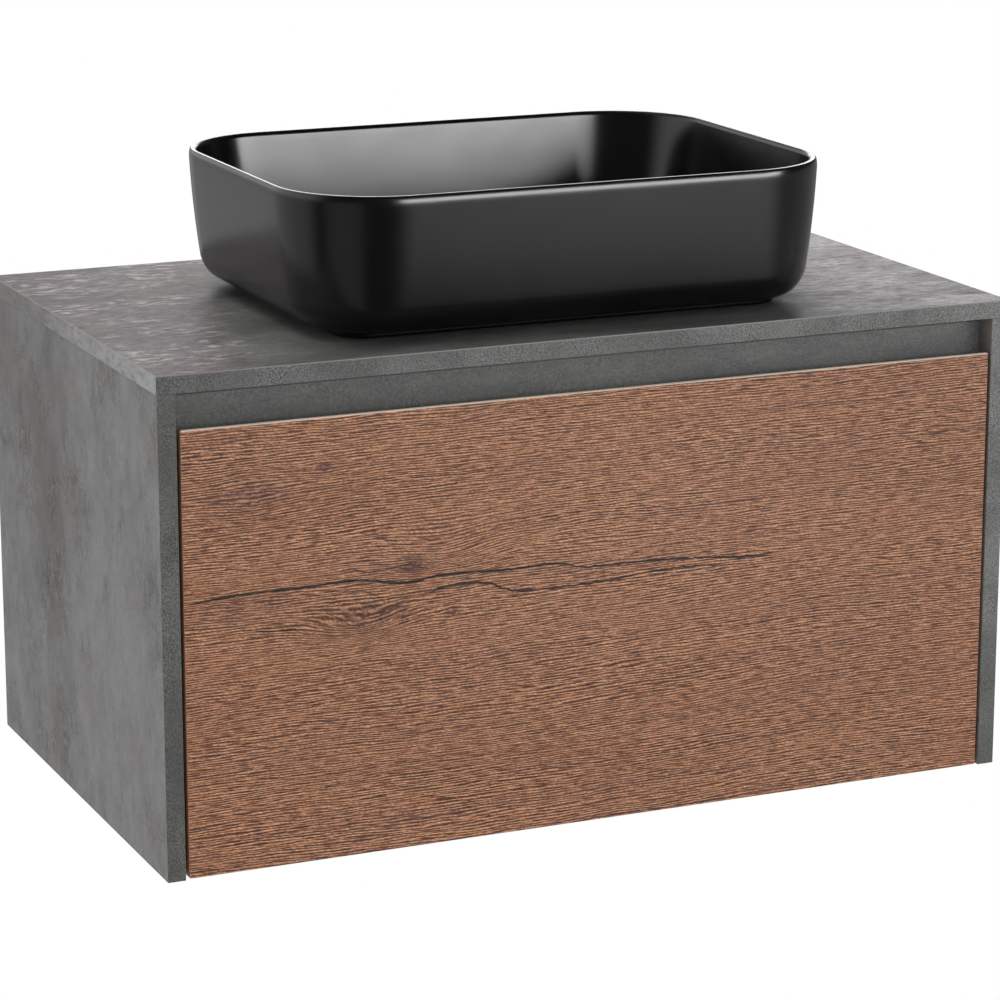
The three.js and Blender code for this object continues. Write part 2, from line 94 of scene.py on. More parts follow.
# ---- Material graphs ----
class Graph:
    """The nodes of a material or the world, with short calls for the ones used. Lengths in millimetres."""

    def __init__(self, name, owner=None):
        self.owner = owner or bpy.data.materials.new(name)
        self.owner.use_nodes = True
        self.tree = self.owner.node_tree
        self.tree.nodes.clear()
        scaled = self.node("ShaderNodeVectorMath", operation="SCALE")
        self.feed(scaled.inputs[0], self.node("ShaderNodeTexCoord").outputs["Object"])
        self.feed(scaled.inputs["Scale"], 1 / MM)
        self.place = scaled.outputs[0]

    def node(self, kind, **settings):
        made = self.tree.nodes.new(kind)
        for key, value in settings.items():
            setattr(made, key, value)
        return made

    def feed(self, socket, value):
        if isinstance(value, bpy.types.NodeSocket):
            self.tree.links.new(value, socket)
        else:
            socket.default_value = value

    def math(self, operation, *values, clamp=False):
        made = self.node("ShaderNodeMath", operation=operation, use_clamp=clamp)
        for socket, value in zip(made.inputs, values):
            self.feed(socket, value)
        return made.outputs[0]

    def vmath(self, operation, *values):
        made = self.node("ShaderNodeVectorMath", operation=operation)
        for socket, value in zip(made.inputs, values):
            self.feed(socket, value)
        return made.outputs["Value" if operation in ("DOT_PRODUCT", "LENGTH") else "Vector"]

    def xyz(self, vector):
        made = self.node("ShaderNodeSeparateXYZ")
        self.feed(made.inputs[0], vector)
        return made.outputs

    def vector(self, *values):
        made = self.node("ShaderNodeCombineXYZ")
        for socket, value in zip(made.inputs, values):
            self.feed(socket, value)
        return made.outputs[0]

    def noise(self, where, detail=2.0, roughness=0.5):
        made = self.node("ShaderNodeTexNoise")
        self.feed(made.inputs["Vector"], where)
        self.feed(made.inputs["Scale"], 1.0)
        self.feed(made.inputs["Detail"], detail)
        self.feed(made.inputs["Roughness"], roughness)
        return made.outputs[0]

    def cells(self, size, seed):
        """Places counted in cells of that size along X, Y and Z, moved by the seed."""
        steps = [1 / s for s in size]
        return self.vmath("MULTIPLY_ADD", self.place, steps, [seed, seed * 1.7, seed * 2.3])

    def cloud(self, size, seed, detail=2.0, roughness=0.5):
        return self.noise(self.cells(size, seed), detail, roughness)

    def ramp(self, value, start, end, low=0.0, high=1.0):
        made = self.node("ShaderNodeMapRange", interpolation_type="SMOOTHSTEP")
        for socket, given in zip(made.inputs, (value, start, end, low, high)):
            self.feed(socket, given)
        return made.outputs[0]

    def bell(self, a, b, centre, half, high=1.0):
        """A soft round patch on the plane of a and b: high in its centre, a third of that at half."""
        a = self.math("MULTIPLY_ADD", a, 1 / half[0], -centre[0] / half[0])
        b = self.math("MULTIPLY_ADD", b, 1 / half[1], -centre[1] / half[1])
        square = self.math("MULTIPLY_ADD", a, a, self.math("MULTIPLY", b, b))
        fall = self.math("POWER", math.e, self.math("MULTIPLY", square, -1.0))
        return fall if high == 1.0 else self.math("MULTIPLY", fall, high)

    def paint(self, socket, color):
        """Feeds a colour: another socket, or red, green and blue."""
        self.feed(socket, color if isinstance(color, bpy.types.NodeSocket) else (*color, 1))

    def mix(self, factor, first, second, kind="MIX"):
        made = self.node("ShaderNodeMix", data_type="RGBA", blend_type=kind)
        self.feed(made.inputs[0], factor)
        self.paint(made.inputs[6], first)
        self.paint(made.inputs[7], second)
        return made.outputs[2]

    def scaled(self, color, factor):
        """The colour times a number."""
        return self.mix(1.0, color, self.vector(factor, factor, factor), "MULTIPLY")

    def mottled(self, color, noise, amount, where=None):
        """The colour made darker and lighter by the noise, as strongly as where says."""
        swing = self.math("SUBTRACT", noise, 0.5)
        if where is not None:
            swing = self.math("MULTIPLY", swing, where)
        return self.scaled(color, self.math("MULTIPLY_ADD", swing, amount, 1.0))

    def finish(self, color, roughness, height=None, depth=0.1, **fixed):
        """Ends the graph in one shader. Height is in parts of depth, which is in millimetres."""
        shader = self.node("ShaderNodeBsdfPrincipled")
        self.paint(shader.inputs["Base Color"], color)
        self.feed(shader.inputs["Roughness"], roughness)
        for name, value in fixed.items():
            shader.inputs[name.replace("_", " ")].default_value = value
        if height is not None:
            bump = self.node("ShaderNodeBump")
            bump.inputs["Strength"].default_value = 1.0
            bump.inputs["Distance"].default_value = depth * MM
            self.feed(bump.inputs["Height"], height)
            self.feed(shader.inputs["Normal"], bump.outputs[0])
        return self.surface(shader.outputs[0])

    def surface(self, shader, output="ShaderNodeOutputMaterial"):
        self.feed(self.node(output).inputs["Surface"], shader)
        return self.owner

    def white_light(self, kind, strength):
        made = self.node(kind)
        self.paint(made.inputs["Color"], (1, 1, 1))
        self.feed(made.inputs["Strength"], strength)
        return made.outputs[0]

    def by_ray(self, lighting, mirrored, seen):
        """Joins three shaders: what lights the unit, what it mirrors, and what the camera sees."""
        path = self.node("ShaderNodeLightPath")
        shader = lighting
        for ray, other in (("Is Glossy Ray", mirrored), ("Is Camera Ray", seen)):
            joined = self.node("ShaderNodeMixShader")
            for socket, value in zip(joined.inputs, (path.outputs[ray], shader, other)):
                self.feed(socket, value)
            shader = joined.outputs[0]
        return shader


# ---- Oak-look laminate ----
# Places on the drawer front are (from its left end, from its lower edge).
# Cracks and fine dark seams: points, half width, darkness.
CRACKS = (
    ([(1, 239), (51, 242), (100, 242), (147, 243), (203, 236), (226, 239), (305, 237), (326, 238),
      (367, 231), (432, 230), (481, 227), (547, 223)], 1.55, 0.97),
    ([(212, 225), (221, 226), (253, 229), (286, 221), (331, 216), (385, 217), (457, 221), (500, 219)],
     1.3, 0.96),
    ([(121, 223), (133, 230), (143, 234), (166, 230), (193, 224), (221, 225), (239, 227)], 0.6, 0.62),
    ([(144, 254), (166, 249), (186, 250), (201, 252), (216, 246)], 0.75, 0.85),
    ([(58, 209), (81, 207), (94, 207), (106, 203)], 1.2, 0.9),
    ([(30, 231), (48, 236), (74, 233), (90, 230)], 0.45, 0.5),
    ([(30, 230), (48, 221), (74, 214), (99, 209), (122, 200)], 0.45, 0.5),
    ([(76, 230), (99, 235), (117, 238)], 0.5, 0.55),
)
# Knots: place, half sizes, how far the grain is pushed aside, how far it is lifted, darkness.
KNOTS = (
    ((55, 325), (30, 19), 5, 0, 0.42),
    ((125, 343), (9, 5), 3, 0, 0.80),
    ((203, 250), (15, 7), 4, 0, 1.0),
    ((230, 262), (46, 20), 0, 9, 0.0),
    ((158, 208), (44, 16), 6, 11, 0.46),
    ((190, 214), (10, 4), 0, 0, 0.80),
    ((240, 206), (9, 5), 3, 0, 0.50),
    ((522, 248), (11, 6), 3, 0, 0.45),
    ((444, 34), (8, 5), 2, 0, 0.35),
    ((28, 231), (15, 6), 2, 0, 0.30),
    ((76, 233), (14, 6), 2, 0, 0.30),
)
# The grain's sways: how far, cell length along the grain, cell height, seed.
SWAYS = ((20, 420, 90, 1.3), (3.5, 110, 30, 4.1), (0.6, 28, 10, 7.7))
PORE_ROW = 2.3  # from one row of pores to the next
WARMTH = (0.99, 0.91, 0.87)  # last tint of the whole grain
LAND_HIGHLIGHT_TONE = (0.97, 0.80, 0.66)  # painted highlight: the pale edge band along the top of the drawer front
LAND_HIGHLIGHT_FADE = (1.3, 0.6)  # where that painted highlight starts and is full, below the top edge


def crack(g, u, v, wander, points, width, dark):
    """The darkness of a split in the wood: its full value along the split, 0 at its edges."""
    length = FRONT_HI.x - FRONT_LO.x
    low = min(p[1] for p in points) - 1
    rise = max(p[1] for p in points) + 1 - low
    line = g.node("ShaderNodeFloatCurve")
    curve = line.mapping.curves[0]
    ends = [(0, points[0][1]), *points, (length, points[-1][1])]
    for index, (x, y) in enumerate(ends):
        at = (x / length, (y - low) / rise)
        if index in (0, 1):
            curve.points[index].location = at
        else:
            curve.points.new(*at)
    line.mapping.update()
    g.feed(line.inputs[1], g.math("MULTIPLY", u, 1 / length))
    centre = g.math("ADD", g.math("MULTIPLY_ADD", line.outputs[0], rise, low), wander)
    off = g.math("ABSOLUTE", g.math("SUBTRACT", v, centre))
    start, end = points[0][0], points[-1][0]
    from_middle = g.math("ABSOLUTE", g.math("SUBTRACT", u, (start + end) / 2))
    reach = (end - start) / 2
    depth = g.ramp(from_middle, reach + 4, reach - 14, 0.0, dark)
    return g.ramp(off, width, g.math("MULTIPLY", width, 0.3), 0.0, depth)


def oak():
    """Oak grain drawn from a few fields of noise.

    The order keeps few values waiting for later steps, because a shader can only hold so many.
    """
    g = Graph("oak_laminate")
    x, _, z = g.xyz(g.place)
    u = g.math("SUBTRACT", x, FRONT_LO.x)
    v = g.math("SUBTRACT", z, FRONT_LO.z)

    def field(height, along, across, seed, detail=2.0, roughness=0.5, shear=0.0):
        """Noise stretched along the grain. The shear keeps its cells from standing above each other."""
        place = g.math("MULTIPLY_ADD", height, shear, u) if shear else u
        where = g.vector(g.math("MULTIPLY", place, 1 / along), g.math("MULTIPLY", height, 1 / across), seed)
        return g.noise(where, detail, roughness)

    # The height along the grain lines: they sway, and part round each knot.
    grain = v
    for amount, along, across, seed in SWAYS:
        sway = g.math("SUBTRACT", field(grain, along, across, seed), 0.5)
        grain = g.math("MULTIPLY_ADD", sway, amount, grain)
    knots = None
    for (ku, kv), (ru, rv), push, lift, dark in KNOTS:
        bell = g.bell(u, v, (ku, kv), (ru, rv))
        across_v = g.math("MULTIPLY_ADD", v, 1 / rv, -kv / rv)
        moved = g.math("MULTIPLY_ADD", across_v, -push, lift)
        grain = g.math("MULTIPLY_ADD", moved, bell, grain)
        knots = g.math("MULTIPLY", bell, dark) if knots is None else g.math("MULTIPLY_ADD", bell, dark, knots)
    burl = field(v, 9, 5, 12.0, 4.0, 0.65)
    knots = g.math("MULTIPLY", knots, g.ramp(burl, 0.38, 0.62, 0.35, 1.5), clamp=True)
    burl = g.math("MULTIPLY", knots, g.math("SUBTRACT", burl, 0.5))
    grain = g.math("MULTIPLY_ADD", burl, 9, grain)

    # Slow colour change along the boards, and darker bands near the lower edge.
    warm = g.ramp(field(grain, 260, 42, 21.0, 3.0, 0.6), 0.36, 0.64)
    color = g.mix(warm, (0.335, 0.130, 0.062), (0.440, 0.188, 0.092))
    color = g.mix(g.bell(u, v, (420, 265), (230, 110), 0.6), color, (0.510, 0.266, 0.155))
    color = g.mix(g.bell(u, v, (120, 215), (105, 20), 0.5), color, (0.400, 0.192, 0.080))
    mauve = g.ramp(field(grain, 170, 48, 27.0, 3.0, 0.6), 0.50, 0.66, 0.0, 0.55)
    color = g.mix(mauve, color, (0.335, 0.155, 0.112))
    yellow = g.ramp(field(grain, 230, 6, 41.0, 3.0, 0.6), 0.50, 0.63, 0.0, 0.50)
    color = g.mix(yellow, color, (0.540, 0.270, 0.130))
    low_part = g.math("MAXIMUM", g.ramp(v, 125, 70), g.ramp(u, 380, 640, 0.0, 0.55))
    low_part = g.math("MULTIPLY_ADD", low_part, 0.45, 0.36)
    bands = g.ramp(field(grain, 800, 7.5, 33.0, 3.0, 0.6), 0.50, 0.66, 0.0, low_part)
    color = g.mix(bands, color, (0.215, 0.092, 0.066))

    # Embossed pores in rows that drift and break up: the light side of each, a painted highlight, lies below
    # its dark side, the pores' own colour with painted shade.
    drift = g.math("MULTIPLY", field(grain, 62, 7, 5.0, 1.5, 0.5, 3.1), 2.0)
    held = g.ramp(field(grain, 70, 4.5, 6.0, 2.0), 0.38, 0.60, 0.38, 0.74)
    row = g.math("SINE", g.math("MULTIPLY", g.math("MULTIPLY_ADD", grain, 1 / PORE_ROW, drift), math.tau))
    loose = g.math("MULTIPLY_ADD", field(grain, 13, 1.1, 2.0, 1.5, 0.6, 5.3), 3.8, -1.9)
    pore = g.math("MULTIPLY_ADD", row, held, loose)
    calm = g.ramp(field(v, 110, 38, 15.0, 3.0), 0.35, 0.65, 0.78, 1.0)
    # Painted highlight on the light side of each row of pores.
    pore_highlight = g.ramp(pore, 0.02, 0.52, 0.0, calm)
    color = g.mix(g.math("MULTIPLY", pore_highlight, 0.78), color, (0.820, 0.455, 0.258))
    # The dark side of each row: the pores' own colour, darkened further as painted shade.
    pore_and_shade_line = g.ramp(pore, -0.04, -0.44, 0.0, calm)
    color = g.mix(g.math("MULTIPLY", pore_and_shade_line, 0.95), color, (0.070, 0.026, 0.014))
    fine = field(grain, 2.6, 1.0, 9.0, 1.0, 0.5, 1.4)
    color = g.scaled(color, g.math("MULTIPLY_ADD", fine, 2.3, -0.15))
    color = g.mix(g.math("MULTIPLY", knots, 0.85), color, (0.095, 0.040, 0.036))
    color = g.mix(1.0, color, WARMTH, "MULTIPLY")

    # Splits, with ragged edges.
    wander = g.math("MULTIPLY_ADD", g.noise(g.vector(g.math("MULTIPLY", u, 1 / 7), 0.0, 3.0), 3.0), 3.0, -1.5)
    broad = g.ramp(field(v, 26, 30, 4.0), 0.3, 0.7, 0.62, 1.6)
    splits = 0.0
    for points, width, dark in CRACKS:
        one = crack(g, u, v, wander, points, g.math("MULTIPLY", broad, width), dark)
        splits = g.math("MAXIMUM", splits, one)
    color = g.mix(splits, color, (0.012, 0.009, 0.011))
    # Painted highlight along the top edge of the drawer front, in the pale land tone.
    top = FRONT_HI.z - FRONT_LO.z
    color = g.mix(g.ramp(v, *(top - below for below in LAND_HIGHLIGHT_FADE)), color, LAND_HIGHLIGHT_TONE)
    height = g.math("SUBTRACT", pore, splits)
    return g.finish(color, 0.52, height, 0.12, Specular_IOR_Level=0.3)


def oak_edge(name, base):
    """Edge band printed with straight grain along X."""
    g = Graph(name)
    grain = g.cloud((60, 1.3, 1.1), 3.0, 3.0, 0.6)
    color = g.scaled(base, g.ramp(grain, 0.3, 0.7, 0.78, 1.2))
    return g.finish(color, 0.42, grain, 0.05, Specular_IOR_Level=0.4)


# ---- Concrete-look laminate ----
def concrete(name, clouds, streak, low, high, stain, *, speck, stained, streaked, speck_size=1.2,
             line=None, fade=0.0):
    """A cloudy laminate: clouds and streak are cell sizes in mm, low to high its tones, stain its tint.

    speck, stained and streaked say how strong the grit, the stains and the streaks are. line is (height,
    half width, tint) of one thin line along the board: a painted highlight on the worktop's edge band and
    painted shade on the grip rail. fade is how much lighter the board gets with each millimetre to the
    right, a painted light gradient.
    """
    g = Graph(name)
    cloud = g.cloud(clouds, 2.0, 6.0, 0.62)
    color = g.mix(g.ramp(cloud, 0.36, 0.62), low, high)
    patch = g.cloud([c * 0.6 for c in clouds], 8.0, 5.0, 0.65)
    patches = g.ramp(patch, 0.50, 0.62)
    color = g.mix(g.math("MULTIPLY", patches, stained), color, stain)
    lines = g.cloud(streak, 5.0, 4.0, 0.6)
    grit = g.cloud((speck_size,) * 3, 11.0, 1.5)
    patchy = g.ramp(g.cloud([c * 0.25 for c in clouds], 14.0, 4.0, 0.6), 0.40, 0.60, 0.75, 1.3)
    color = g.mottled(color, lines, streaked * 2)
    color = g.mottled(color, grit, speck * 5, patchy)
    rough = g.ramp(cloud, 0.3, 0.7, 0.50, 0.62)
    height = g.math("MULTIPLY_ADD", lines, 0.5, grit)
    if line:
        at, thick, tint = line
        off = g.math("ABSOLUTE", g.math("SUBTRACT", g.xyz(g.place)[2], at))
        color = g.mix(g.ramp(off, thick, thick * 0.4), color, tint)
    # Painted light: the board gets lighter towards the right.
    if fade:
        color = g.scaled(color, g.math("MULTIPLY_ADD", g.xyz(g.place)[0], fade, 0.96))
    return g.finish(color, rough, height, 0.04, Specular_IOR_Level=0.35)


# Older-looking patches of a side panel: place (along Y, from the lower edge), half sizes, strength.
AGED_PATCHES = (
    ((-70, 360), (110, 90), 0.45),
    ((-185, 205), (48, 105), 0.75),
    ((-330, 330), (45, 40), 0.30),
    ((-150, 40), (60, 45), 0.35),
)


def concrete_side():
    """The side panels' outer face: brownish and mottled towards the back and top, smoother in front, with
    painted shade that darkens it towards the top.
    """
    g = Graph("concrete_side")
    _, y, z = g.xyz(g.place)
    cloud = g.cloud((90, 80, 100), 2.0, 6.0, 0.62)
    # Darker towards the top is painted shade; darker towards the back and in the patches is mottling.
    mottling_and_shade = g.math("ADD", g.ramp(y, -400, -60, 0.0, 0.30), g.ramp(z, FOOT_Z + 60, TOP_Z, 0.0, 0.20))
    for (at_y, at_h), half, amount in AGED_PATCHES:
        mottling_and_shade = g.math("ADD", g.bell(y, z, (at_y, FOOT_Z + at_h), half, amount), mottling_and_shade)
    mottling_and_shade = g.math("ADD", mottling_and_shade, g.math("MULTIPLY_ADD", cloud, 2.2, -1.1), clamp=True)
    color = g.mix(mottling_and_shade, (0.218, 0.220, 0.221), (0.130, 0.124, 0.121))
    blot = g.cloud((55, 45, 62), 8.0, 6.0, 0.68)
    blots = g.ramp(blot, 0.48, 0.57)
    held = g.math("MULTIPLY_ADD", mottling_and_shade, 0.85, 0.20)
    blots = g.math("MULTIPLY", blots, held)
    color = g.mix(g.math("MULTIPLY", blots, 0.55), color, (0.118, 0.106, 0.100))
    brown = g.ramp(g.cloud((60, 40, 90), 21.0, 4.0, 0.6), 0.50, 0.62)
    color = g.mix(g.math("MULTIPLY", brown, 0.35), color, (0.170, 0.146, 0.136))
    strokes = g.cloud((3.4, 2.8, 7.5), 5.0, 3.0, 0.6)
    haze = g.cloud((22, 20, 27), 6.0, 5.0, 0.62)
    grit = g.cloud((1.3, 1.2, 1.7), 11.0, 1.5)
    depth = g.math("MULTIPLY_ADD", blots, 1.6, 0.32)
    color = g.mottled(color, strokes, 1.5, depth)
    color = g.mottled(color, haze, 0.50)
    color = g.mottled(color, grit, 1.3, depth)
    rough = g.ramp(cloud, 0.3, 0.7, 0.50, 0.62)
    return g.finish(color, rough, g.math("ADD", strokes, grit), 0.04, Specular_IOR_Level=0.35)


def concrete_top():
    """The worktop's face: mauve and scuffed towards both ends, smooth, greenish and darker round the basin,
    where the darkness is partly painted shadow of the basin.
    """
    g = Graph("concrete_worktop")
    x, y, _ = g.xyz(g.place)
    cloud = g.cloud((130, 60, 100), 3.0, 6.0, 0.65)
    sway = g.math("SUBTRACT", g.cloud((110, 45, 60), 6.0, 5.0, 0.62), 0.5)
    slant = g.math("MULTIPLY_ADD", g.math("ADD", y, 450), -0.27, x)
    left = g.ramp(g.math("MULTIPLY_ADD", sway, 190, slant), -286, -352)
    right = g.ramp(g.math("MULTIPLY_ADD", sway, 120, x), 212, 262)
    tone = g.ramp(cloud, 0.36, 0.62)
    # The darker middle round the basin is partly the print and partly painted shadow of the basin; left and
    # right mark the lighter ends.
    color = g.mix(tone, (0.088, 0.095, 0.088), (0.140, 0.142, 0.134))
    color = g.mix(left, color, g.mix(tone, (0.076, 0.066, 0.069), (0.143, 0.128, 0.127)))
    color = g.mix(right, color, g.mix(tone, (0.205, 0.190, 0.194), (0.325, 0.310, 0.312)))
    ends = g.math("MAXIMUM", left, right)
    mauve = g.ramp(g.cloud((80, 34, 60), 9.0, 5.0, 0.6), 0.49, 0.61)
    color = g.mix(g.math("MULTIPLY", mauve, g.math("MULTIPLY", ends, 0.60)), color, (0.142, 0.108, 0.120))
    lines = g.cloud((13, 4.2, 5), 5.0, 5.0, 0.70)
    grit = g.cloud((1.6, 2.2, 1.2), 11.0, 1.5)
    scuff_zone = g.ramp(g.cloud((75, 42, 60), 17.0, 2.0, 0.5), 0.42, 0.60)
    scuffs = g.math("MULTIPLY", g.ramp(g.cloud((19, 6, 5), 19.0, 4.0, 0.68), 0.49, 0.64), scuff_zone)
    scuffs = g.math("MULTIPLY", scuffs, g.math("MULTIPLY_ADD", ends, 0.77, 0.03))
    power = g.math("MULTIPLY_ADD", ends, 1.7, 0.55)
    color = g.mottled(color, lines, 1.5, power)
    color = g.mottled(color, grit, 0.9)
    color = g.mix(scuffs, color, (0.42, 0.40, 0.39))
    rough = g.ramp(cloud, 0.3, 0.7, 0.46, 0.58)
    return g.finish(color, rough, g.math("MULTIPLY_ADD", lines, 0.6, grit), 0.04, Specular_IOR_Level=0.3)


def concrete_end():
    """The worktop's end bands: mottled and dull at the back, paler towards the front corner."""
    g = Graph("concrete_end_band")
    _, y, _ = g.xyz(g.place)
    cloud = g.cloud((60, 46, 30), 4.0, 5.0, 0.62)
    tone = g.math("ADD", g.ramp(y, -80, -450), g.math("MULTIPLY_ADD", cloud, 1.8, -0.9), clamp=True)
    color = g.mix(tone, (0.165, 0.160, 0.157), (0.345, 0.350, 0.352))
    strokes = g.cloud((3, 7, 2.6), 5.0, 3.0, 0.6)
    blots = g.ramp(g.cloud((20, 22, 9), 8.0, 5.0, 0.66), 0.50, 0.62, 0.0, 0.45)
    color = g.mix(blots, color, (0.135, 0.126, 0.122))
    color = g.mottled(color, strokes, 0.7)
    return g.finish(color, g.ramp(cloud, 0.3, 0.7, 0.50, 0.62), strokes, 0.04, Specular_IOR_Level=0.35)


# ---- Plainer finishes ----
def lining(name="lining_melamine", base=(0.40, 0.375, 0.345)):
    g = Graph(name)
    fibre = g.cloud((3.5, 3.5, 3.5), 1.0, 4.0, 0.6)
    color = g.scaled(base, g.ramp(g.cloud((60, 60, 60), 4.0, 3.0), 0.3, 0.7, 0.93, 1.05))
    color = g.scaled(color, g.ramp(fibre, 0.3, 0.7, 0.95, 1.04))
    return g.finish(color, g.ramp(fibre, 0.3, 0.7, 0.42, 0.55), fibre, 0.04)


def chipboard():
    """Sawn edge of chipboard: wood chips pressed flat in glue."""
    g = Graph("raw_chipboard")
    chips = g.node("ShaderNodeTexVoronoi", feature="F1")
    g.feed(chips.inputs["Vector"], g.cells((2.6, 2.6, 1.5), 2.0))
    g.feed(chips.inputs["Scale"], 1.0)
    tone = g.xyz(chips.outputs["Color"])[0]
    color = g.mix(tone, (0.30, 0.19, 0.105), (0.62, 0.46, 0.29))
    # The holes between the chips are darkened: painted shade in them.
    holes = g.ramp(g.cloud((1.6, 1.6, 1.1), 7.0, 3.0), 0.40, 0.30)
    color = g.mix(holes, color, (0.09, 0.052, 0.028))
    height = g.math("SUBTRACT", g.math("MULTIPLY", tone, 0.4), holes)
    return g.finish(color, 0.82, height, 0.25, Specular_IOR_Level=0.2)


def ceramic():
    g = Graph("satin_black_glaze")
    pool = g.cloud((70, 70, 60), 2.0, 3.0)
    orange_peel = g.cloud((5.5, 5.5, 5.5), 4.0, 2.0)
    rough = g.ramp(pool, 0.3, 0.7, 0.19, 0.23)
    color = g.mix(g.ramp(pool, 0.3, 0.7), (0.0032, 0.0032, 0.0034), (0.0050, 0.0049, 0.0049))
    return g.finish(color, rough, orange_peel, 0.006, IOR=1.52)


def steel(name="zinc_plate", base=(0.55, 0.57, 0.58), low=0.26, high=0.42):
    """Bright zinc plate with faint rolling lines along the rails."""
    g = Graph(name)
    bloom = g.cloud((22, 22, 22), 3.0, 4.0, 0.6)
    rolled = g.cloud((0.9, 45, 0.9), 6.0, 3.0)
    color = g.scaled(base, g.ramp(bloom, 0.3, 0.7, 0.86, 1.06))
    rough = g.math("ADD", g.ramp(bloom, 0.3, 0.7, low, high), g.math("MULTIPLY", rolled, 0.06))
    return g.finish(color, rough, rolled, 0.02, Metallic=1.0)


def chrome():
    g = Graph("chrome_plate")
    smear = g.cloud((14, 14, 18), 3.0, 4.0, 0.6)
    color = g.mix(g.ramp(smear, 0.3, 0.7), (0.72, 0.73, 0.74), (0.79, 0.80, 0.81))
    return g.finish(color, g.ramp(smear, 0.35, 0.7, 0.06, 0.14), smear, 0.01, Metallic=1.0)


def plastic():
    g = Graph("moulded_white_plastic")
    spark = g.cloud((0.7, 0.7, 0.7), 3.0, 2.0)
    color = g.mix(g.ramp(g.cloud((18, 18, 18), 5.0, 3.0), 0.3, 0.7), (0.76, 0.76, 0.73), (0.83, 0.83, 0.80))
    return g.finish(color, g.ramp(spark, 0.3, 0.7, 0.38, 0.5), spark, 0.02)


def rubber():
    g = Graph("black_rubber")
    bloom = g.cloud((9, 9, 9), 3.0, 4.0, 0.6)
    color = g.mix(g.ramp(bloom, 0.35, 0.7), (0.022, 0.022, 0.022), (0.045, 0.044, 0.043))
    return g.finish(color, 0.78, g.cloud((0.6, 0.6, 0.6), 6.0), 0.03, Specular_IOR_Level=0.3)


# ---- Mesh helpers ----
SHARP = math.radians(32)  # edges that turn by more than this are rounded


def place(name, data):
    """Puts a new object into the scene."""
    obj = bpy.data.objects.new(name, data)
    bpy.context.scene.collection.objects.link(obj)
    return obj


def closed_mesh(name, bm):
    """Makes a mesh in metres of a closed surface built in millimetres, with its faces turned outwards."""
    bmesh.ops.recalc_face_normals(bm, faces=bm.faces)
    bmesh.ops.scale(bm, vec=(MM,) * 3, verts=bm.verts)
    mesh = bpy.data.meshes.new(name)
    bm.to_mesh(mesh)
    bm.free()
    return mesh


def block(bm, lo, hi):
    """Adds a box between two corners."""
    made = bmesh.ops.create_cube(bm, size=1.0)["verts"]
    middle, size = (Vector(lo) + Vector(hi)) / 2, Vector(hi) - Vector(lo)
    for vert in made:
        vert.co = Vector([middle[i] + vert.co[i] * size[i] for i in range(3)])


def turned(bm, outline, centre, along="Z", segments=96, lobes=(0, 0.0, 0.0)):
    """Adds a closed outline of (radius, height) turned about an axis through the centre.

    lobes is (how many, how deep, from which radius out) for the shallow grips round a nut.
    """
    count, depth, start = lobes
    rings = []
    for radius, height in outline:
        ring = []
        for i in range(segments if radius > 0 else 1):
            angle = 2 * math.pi * i / segments
            r = radius
            if count and radius > start:
                r -= depth * (0.5 + 0.5 * math.cos(count * angle)) ** 2
            point = Vector((r * math.cos(angle), r * math.sin(angle), height))
            if along == "Y":
                point = Vector((point.x, point.z, -point.y))
            ring.append(bm.verts.new(point + Vector(centre)))
        rings.append(ring)
    for ring, other in zip(rings, rings[1:] + rings[:1]):
        for i in range(segments):
            j = (i + 1) % segments
            corners = [ring[i % len(ring)], ring[j % len(ring)], other[j % len(other)], other[i % len(other)]]
            corners = list(dict.fromkeys(corners))
            if len(corners) > 2:
                bm.faces.new(corners)


def prism(bm, outline, x0, x1):
    """Adds a polygon of (y, z) points drawn out along X."""
    ends = [[bm.verts.new((x, y, z)) for y, z in outline] for x in (x0, x1)]
    bm.faces.new(ends[0])
    bm.faces.new(ends[1][::-1])
    for i in range(len(outline)):
        j = (i + 1) % len(outline)
        bm.faces.new((ends[0][i], ends[0][j], ends[1][j], ends[1][i]))


def skin(bm, rings):
    """Adds the surface through a closed list of rings that all have the same number of points."""
    rows = [[bm.verts.new(point) for point in ring] for ring in rings]
    for row, other in zip(rows, rows[1:] + rows[:1]):
        for i in range(len(row)):
            j = (i + 1) % len(row)
            bm.faces.new((row[i], row[j], other[j], other[i]))


def soften(obj, width, segments=2):
    """Rounds the sharp edges, with the flat faces kept flat in shading."""
    bevel = obj.modifiers.new("edge rounding", "BEVEL")
    bevel.width = width * MM
    bevel.segments = segments
    bevel.limit_method = "ANGLE"
    bevel.angle_limit = SHARP
    bevel.harden_normals = True


def piece(name, bm, materials, node, rounding=0.3, segments=2, stands_in=True, pick=None, cutters=()):
    """Makes a mesh in millimetres into a piece that rides on the node's body and stands for the node.

    pick says which of the materials a face with a given normal gets.
    """
    obj = place(name, closed_mesh(name, bm))
    for cutter in cutters:
        carve(obj, cutter)
    for material in materials:
        obj.data.materials.append(material)
    for face in obj.data.polygons:
        face.use_smooth = True
        face.material_index = pick(face.normal) if pick else 0
    if rounding:
        soften(obj, rounding, segments)
    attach(obj, BODY_OF[node])
    if stands_in:
        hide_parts(node)


def carve(obj, cutter):
    """Subtracts a mesh in millimetres from the object for good."""
    tool = place("cutter", closed_mesh("cutter", cutter))
    cut = obj.modifiers.new("cut", "BOOLEAN")
    cut.operation, cut.solver, cut.object = "DIFFERENCE", "EXACT", tool
    bpy.context.view_layer.update()
    done = bpy.data.meshes.new_from_object(obj.evaluated_get(bpy.context.evaluated_depsgraph_get()))
    obj.modifiers.clear()
    obj.data = done
    bpy.data.objects.remove(tool)


